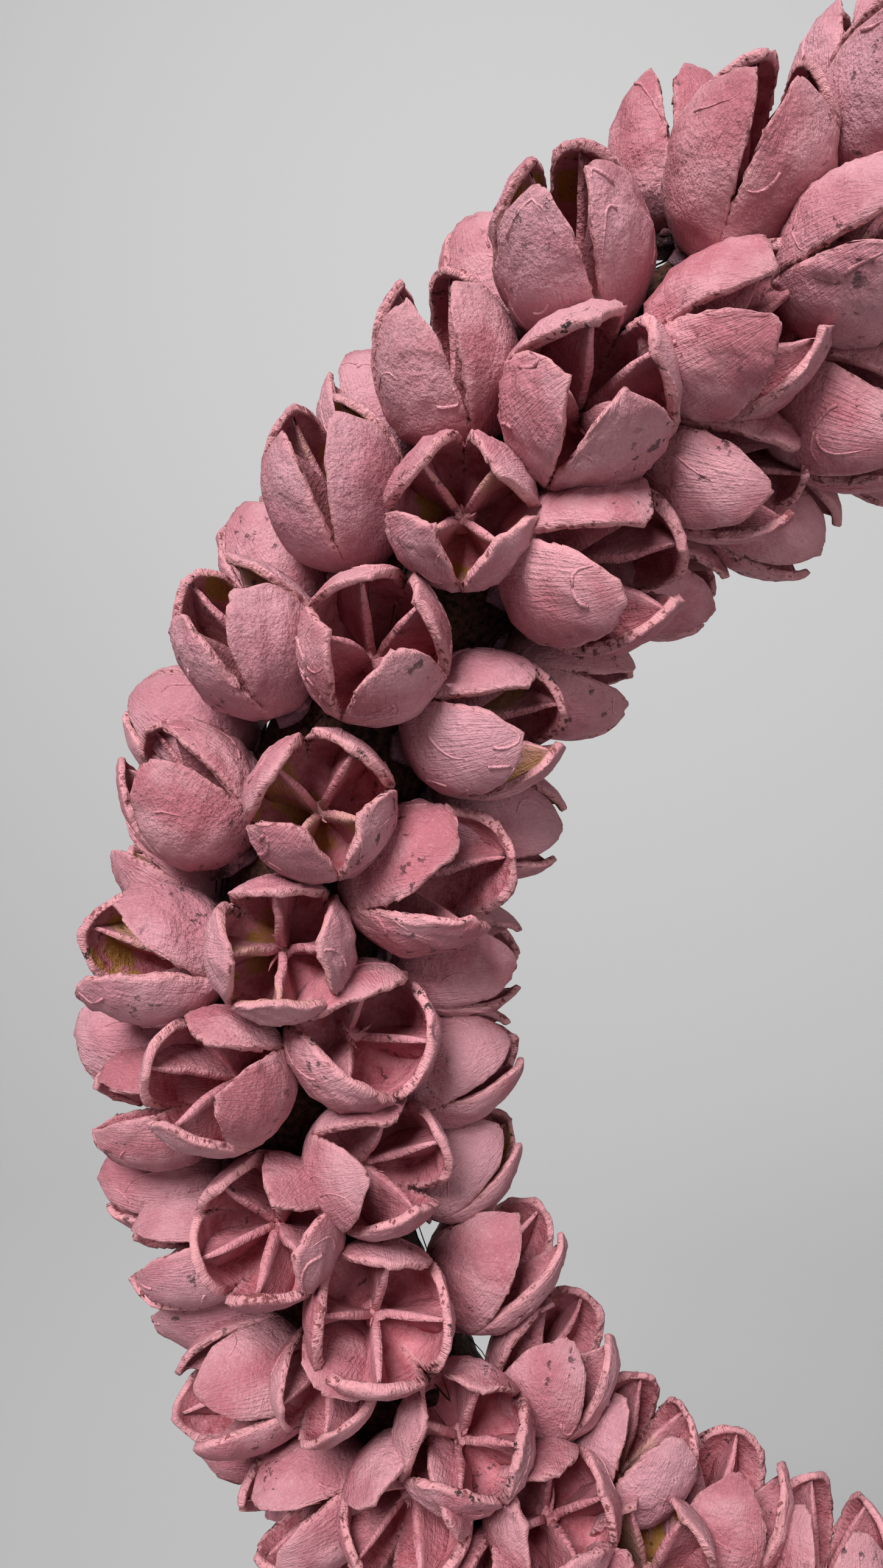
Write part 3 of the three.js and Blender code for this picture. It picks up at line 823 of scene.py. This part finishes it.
def add_calyx(shape, pod, place, seed):
    """The dried collar round the foot: a band hugging the wall, with five ragged lobes. Its section is
    a closed line carried round the axis, so it is a closed ring."""
    cols = 25 if pod["fine"] else 15
    turn = np.linspace(0, 2 * np.pi, cols, endpoint=False)[None, :]
    lobes = 0.16 + 0.035 * np.cos(5 * turn + seed) + 0.02 * np.sin(3 * turn + 2 * seed)
    share = np.array([0.1, 0.1, 0.5, 0.97, 1.0, 0.9])[:, None]
    stand = np.array([-0.9, 0.5, 1.0, 1.0, 0.5, -0.9])[:, None]
    s = share * lobes
    radius = np.interp(s, OUTLINE_ARC, OUTLINE_RADIUS)
    height = np.interp(s, OUTLINE_ARC, OUTLINE_HEIGHT)
    slope = np.interp(s, OUTLINE_ARC, OUTLINE_SLOPE)
    folds = 1 + 0.5 * np.sin(11 * turn + seed) * share
    away = np.where(stand > 0, stand * folds, stand)
    radius, height = radius + away * np.sin(slope), height - away * np.cos(slope)
    points = np.stack([radius * np.cos(turn), radius * np.sin(turn), height + 0 * turn], -1)
    points = points + 0.25 * waves(points + seed, 4, seed + 11)[..., None] * [1, 1, 0.4]
    triangles = grid_triangles(7, cols, wrap=True) % (6 * cols)
    # The collar takes the foot's colour, with its painted shade of the gaps between the pods.
    base = np.broadcast_to(0.75 + 0.25 * (share < 0.5), s.shape)
    shape.add(place(points), triangles, pod_finish(0, 0.35 * (share > 0.95) + 0 * s, base, pod))


def add_glue(shape, pod, place, seed):
    """The blob of glue that holds the foot, painted over with it: a flattened ball with uneven skirts."""
    rows, cols = 7, 16
    turn = np.linspace(0, 2 * np.pi, cols, endpoint=False)[None, :]
    rise = np.linspace(-np.pi / 2, np.pi / 2, rows)[:, None]
    spread = 7.5 + 1.8 * np.sin(2 * turn + seed) + 1.2 * np.sin(5 * turn + 2 * seed)
    points = np.stack([
        spread * np.cos(rise) * np.cos(turn),
        spread * np.cos(rise) * np.sin(turn),
        0.2 + 2.6 * np.sin(rise) + 0 * turn,
    ], -1)
    points = points + 0.5 * waves(points + seed, 5, seed + 12)[..., None] * (np.cos(rise) > 0.01)[..., None]
    # The glue takes the foot's colour: mauve grey, and bare wood darkened as painted shade of the gaps
    # between the pods.
    finish = pod_finish(0 * spread + 0 * rise, 0, 1, pod)
    shape.add(place(points), grid_triangles(rows, cols, wrap=True), finish)


def stood_on_ring(pod):
    """A function that takes points from the pod's own x, y, z to the ring's, in mm: the foot at the
    row's height off the coir, the axis leaning onward and across, x towards the next pod of the row."""
    out, normal, onward, across = ring_directions(np.array(pod["along"]), np.array(pod["around"]))
    foot = RING_RADIUS * out + (POD_LIFT + pod["lift"]) * normal
    axis = normal + math.tan(math.radians(pod["lean_on"])) * onward
    axis = axis + math.tan(math.radians(pod["lean_across"])) * across
    axis = axis / np.linalg.norm(axis)
    first = onward - axis * (onward @ axis)
    first = first / np.linalg.norm(first)
    second = np.cross(axis, first)
    size = pod["size"] * np.array([pod["spread"], pod["spread"], 1])
    turned = np.stack([first, second, axis])

    def place(points):
        return foot + (points * size) @ turned

    return place


def build_pod(shape, pod, row_number, number):
    """One whole pod: walls, partitions, threads of paint, stalk, collar and the glue under it."""
    seed = row_number * 100 + number
    rng = np.random.default_rng(seed)
    pod["shade"] = rng.uniform()
    pod["wrinkled"] = rng.choice([0.05, 0.12, 0.32])
    place = stood_on_ring(pod)
    valves = add_valves(shape, pod, place, rng, seed)
    for valve in valves:
        add_partition(shape, pod, place, rng, seed, valve)
    if pod["fine"]:
        for *_, outside in valves:
            threads = STRINGY.get((row_number, number), int(rng.integers(0, 3)))
            add_threads(shape, pod, place, rng, outside, threads)
    add_stalk(shape, pod, place, rng, seed)
    add_calyx(shape, pod, place, seed)
    add_glue(shape, pod, place, seed)


# The paint's colours: a thin and a full coat outside and inside, what it is
# over a stained wall, on a crumbled rim, mauve grey and bare at the foot, the
# bare darkened nearly to black as painted shade of the gaps between the pods,
# a painted shade of dark red down in the cup, the dust of it on raised grains,
# and the bare wood where it has chipped.
OUTSIDE_THIN = (0.41, 0.130, 0.160, 1)
OUTSIDE_FULL = (0.55, 0.255, 0.292, 1)
OUTSIDE_COOL = (0.50, 0.26, 0.31, 1)
INSIDE_THIN = (0.40, 0.092, 0.115, 1)
INSIDE_FULL = (0.56, 0.195, 0.232, 1)
OCHRE_STAIN = (0.40, 0.20, 0.045, 1)
RIM_PITTED = (0.20, 0.055, 0.055, 1)
RIM_FULL = (0.64, 0.29, 0.315, 1)
# Nearly black: bare wood at the foot, darkened further as painted shade of the gaps between the pods.
FOOT_BARE_AND_SHADE = (0.02, 0.003, 0.004, 1)
FOOT_MAUVE = (0.20, 0.11, 0.14, 1)
# Painted shade: dark red for deep down in the cup.
CUP_PAINTED_SHADE = (0.20, 0.018, 0.028, 1)
DUST_PINK = (0.74, 0.42, 0.45, 1)
BARE_WOOD = (0.045, 0.028, 0.03, 1)


def paint_material():
    """Chalky dusty pink paint on wood: lighter on the rims, deeper inside and a painted shade of dark red
    down in the cup, mauve grey to bare at the foot, the bare darkened nearly to black as painted shade of
    the gaps between the pods, chipped to dark wood most along broken edges, with ochre stains inside
    some pods and a fine dry grain."""
    material = bpy.data.materials.new("dusty_pink_paint")
    tree, add = node_chain(material)
    shader = tree.nodes["Principled BSDF"]
    place = add("ShaderNodeTexCoord")
    finish = add("ShaderNodeAttribute", {"attribute_name": "finish"})
    parts = add("ShaderNodeSeparateColor", Color=finish.outputs["Color"])
    inside, rim, base = parts.outputs["Red"], parts.outputs["Green"], parts.outputs["Blue"]
    shade = finish.outputs["Alpha"]

    def mix(factor, one, other):
        return add("ShaderNodeMix", {"data_type": "RGBA"}, i0=factor, i6=one, i7=other).outputs[2]

    def maths(operation, one, other, clamp=False):
        settings = {"operation": operation, "use_clamp": clamp}
        return add("ShaderNodeMath", settings, i0=one, i1=other).outputs[0]

    def times(one, other):
        return maths("MULTIPLY", one, other)

    def noise(scale, detail, roughness=0.5, vector=place.outputs["Object"]):
        inputs = {"Vector": vector, "Scale": scale, "Detail": detail, "Roughness": roughness}
        return add("ShaderNodeTexNoise", **inputs).outputs["Fac"]

    def ramp(value, low, high):
        inputs = {"Value": value, "From Min": low, "From Max": high}
        settings = {"interpolation_type": "SMOOTHSTEP"}
        return add("ShaderNodeMapRange", settings, **inputs).outputs["Result"]

    patches = noise(70.0, 4.0)
    mottle = noise(260.0, 4.0, 0.6)
    grit = noise(1500.0, 3.0, 0.6)

    outside = mix(ramp(patches, 0.38, 0.62), OUTSIDE_THIN, OUTSIDE_FULL)
    outside = mix(times(ramp(shade, 0.3, 1.0), 0.35), outside, OUTSIDE_COOL)
    inner = mix(ramp(mottle, 0.30, 0.62), INSIDE_THIN, INSIDE_FULL)
    stained = times(ramp(patches, 0.51, 0.56), ramp(shade, 0.60, 0.62))
    inner = mix(stained, inner, OCHRE_STAIN)
    colour = mix(inside, outside, inner)

    pits = maths("ADD", noise(800.0, 3.0, 0.6), times(patches, 0.5))
    crumbs = mix(ramp(pits, 0.60, 0.69), RIM_PITTED, RIM_FULL)
    colour = mix(times(rim, 0.9), colour, crumbs)

    # Painted shade: dark red down in the cup, on the inside near the foot.
    within = times(base, inside)
    colour = mix(times(within, 0.75), colour, CUP_PAINTED_SHADE)
    # The foot, the glue and the collar: mauve grey to bare wood, the bare darkened nearly to black as
    # painted shade of the gaps between the pods.
    below = times(maths("SUBTRACT", base, within), ramp(mottle, 0.15, 0.50))
    foot = mix(ramp(patches, 0.42, 0.58), FOOT_BARE_AND_SHADE, FOOT_MAUVE)
    colour = mix(below, colour, foot)

    colour = mix(times(ramp(grit, 0.52, 0.72), 0.22), colour, DUST_PINK)
    chipped = times(ramp(noise(420.0, 5.0, 0.65), 0.60, 0.66), ramp(noise(45.0, 2.0), 0.56, 0.62))
    chipped = maths("MULTIPLY", chipped, maths("ADD", times(rim, 0.4), 0.75), clamp=True)
    colour = mix(chipped, colour, BARE_WOOD)
    tree.links.new(colour, shader.inputs["Base Color"])

    grain = add("ShaderNodeUVMap", {"uv_map": "grain"}).outputs["UV"]
    along = add("ShaderNodeMapping", Vector=grain, Scale=(26.0, 3.0, 1.0))
    fibres = noise(1.0, 4.0, 0.6, along.outputs["Vector"])
    height = maths("ADD", times(grit, 0.45), times(noise(520.0, 4.0, 0.6), 0.8))
    height = maths("ADD", height, times(fibres, 0.65))
    height = maths("SUBTRACT", height, times(chipped, 0.8))
    bump = add("ShaderNodeBump", Height=height, Strength=0.8, Distance=0.0012)
    tree.links.new(bump.outputs["Normal"], shader.inputs["Normal"])
    shader.inputs["Roughness"].default_value = 0.78
    shader.inputs["Specular IOR Level"].default_value = 0.28
    return material


paint_finish = paint_material()
for row_number, (row_name, (around, count, chosen)) in enumerate(ROWS.items(), start=1):
    pods = pods_of(row_number, around, count, chosen)
    for run in range(count // PODS_IN_A_RUN):
        shape = Shape()
        for number in range(run * PODS_IN_A_RUN, (run + 1) * PODS_IN_A_RUN):
            build_pod(shape, pods[number], row_number, number)
        node = f"pods_{row_name}_{run + 1:02d}"
        points, triangles, finish, grain = shape.whole()
        make_piece(f"painted_{node}", points, triangles, paint_finish, [node], finish, grain)

# ---------------------------------------------------------------------------
# Studio: a plain pale floor that sweeps up into a wall, a soft key light from
# the upper left, a weak fill, and the camera.

FLOOR_DROP = 1.1
WALL_BEHIND = 1.3
SWEEP_RADIUS = 0.5
FLOOR_LENGTH = 30.0
WALL_HEIGHT = 20.0
HALF_WIDTH = 30.0
PAPER_GREY = (0.715, 0.715, 0.715, 1)

KEY_PLACE = (-0.5, -1.1, 1.2)
KEY_SIZE = 0.7
KEY_POWER = 48
FILL_PLACE = (1.1, -1.4, 0.2)
FILL_SIZE = 1.4
FILL_POWER = 9
ROOM_GREY = (0.8, 0.8, 0.8, 1)
ROOM_STRENGTH = 0.165

# The camera stands this far from the ring's centre, in metres, and looks along
# y, panned, tilted and rolled by these angles in degrees.
CAMERA_PLACE = (-0.0949, -0.2168, 0.0769)
CAMERA_PAN = 6.5
CAMERA_TILT = -8.12
CAMERA_ROLL = -1.89
CAMERA_LENS = 26.1


def studio_sweep(low_corner, high_corner):
    """A floor that turns up into a wall on a quarter circle: one line carried sideways."""
    floor = low_corner.z - FLOOR_DROP
    wall = high_corner.y + WALL_BEHIND
    bend = np.linspace(0, np.pi / 2, 24)
    y = np.concatenate([[wall - FLOOR_LENGTH], wall - SWEEP_RADIUS * (1 - np.sin(bend)), [wall]])
    z = np.concatenate([[floor], floor + SWEEP_RADIUS * (1 - np.cos(bend)), [floor + WALL_HEIGHT]])
    x = np.array([-HALF_WIDTH, HALF_WIDTH])
    points = np.stack(np.broadcast_arrays(x[None, :], y[:, None], z[:, None]), -1)
    mesh = bpy.data.meshes.new("studio_sweep")
    quads = [(2 * i, 2 * i + 1, 2 * i + 3, 2 * i + 2) for i in range(len(y) - 1)]
    mesh.from_pydata(points.reshape(-1, 3).tolist(), [], quads)
    mesh.polygons.foreach_set("use_smooth", [True] * len(quads))
    material = bpy.data.materials.new("pale_paper")
    tree, _ = node_chain(material)
    paper = tree.nodes["Principled BSDF"]
    paper.inputs["Base Color"].default_value = PAPER_GREY
    paper.inputs["Roughness"].default_value = 0.9
    mesh.materials.append(material)
    sweep = bpy.data.objects.new("studio_sweep", mesh)
    bpy.context.scene.collection.objects.link(sweep)


def soft_light(name, place, size, power, aim):
    """A square area light at a place, turned to face aim."""
    data = bpy.data.lights.new(name, "AREA")
    data.size = size
    data.energy = power
    light = bpy.data.objects.new(name, data)
    light.location = place
    light.rotation_euler = (Vector(aim) - Vector(place)).to_track_quat("-Z", "Y").to_euler()
    bpy.context.scene.collection.objects.link(light)


studio_sweep(cad_low, cad_high)
ring_centre = Vector(CENTRE)
soft_light("key_light", ring_centre + Vector(KEY_PLACE), KEY_SIZE, KEY_POWER, ring_centre)
soft_light("fill_light", ring_centre + Vector(FILL_PLACE), FILL_SIZE, FILL_POWER, ring_centre)
world = bpy.data.worlds.new("soft_room")
world.use_nodes = True
background = world.node_tree.nodes["Background"]
background.inputs["Color"].default_value = ROOM_GREY
background.inputs["Strength"].default_value = ROOM_STRENGTH
bpy.context.scene.world = world
bpy.context.scene.view_settings.view_transform = "Standard"

camera_data = bpy.data.cameras.new("camera")
camera_data.sensor_width = 36
camera_data.lens = CAMERA_LENS
camera_data.clip_end = 50
camera = bpy.data.objects.new("camera", camera_data)
bpy.context.scene.collection.objects.link(camera)
heading = Matrix.Identity(3)
for angle, axis in ((CAMERA_PAN, "Z"), (CAMERA_TILT, "X"), (CAMERA_ROLL, "Y")):
    heading = heading @ Matrix.Rotation(math.radians(angle), 3, axis)
turned = Matrix((heading.col[0], heading.col[2], -heading.col[1])).transposed()
camera.matrix_world = Matrix.Translation(ring_centre + Vector(CAMERA_PLACE)) @ turned.to_4x4()
bpy.context.scene.camera = camera
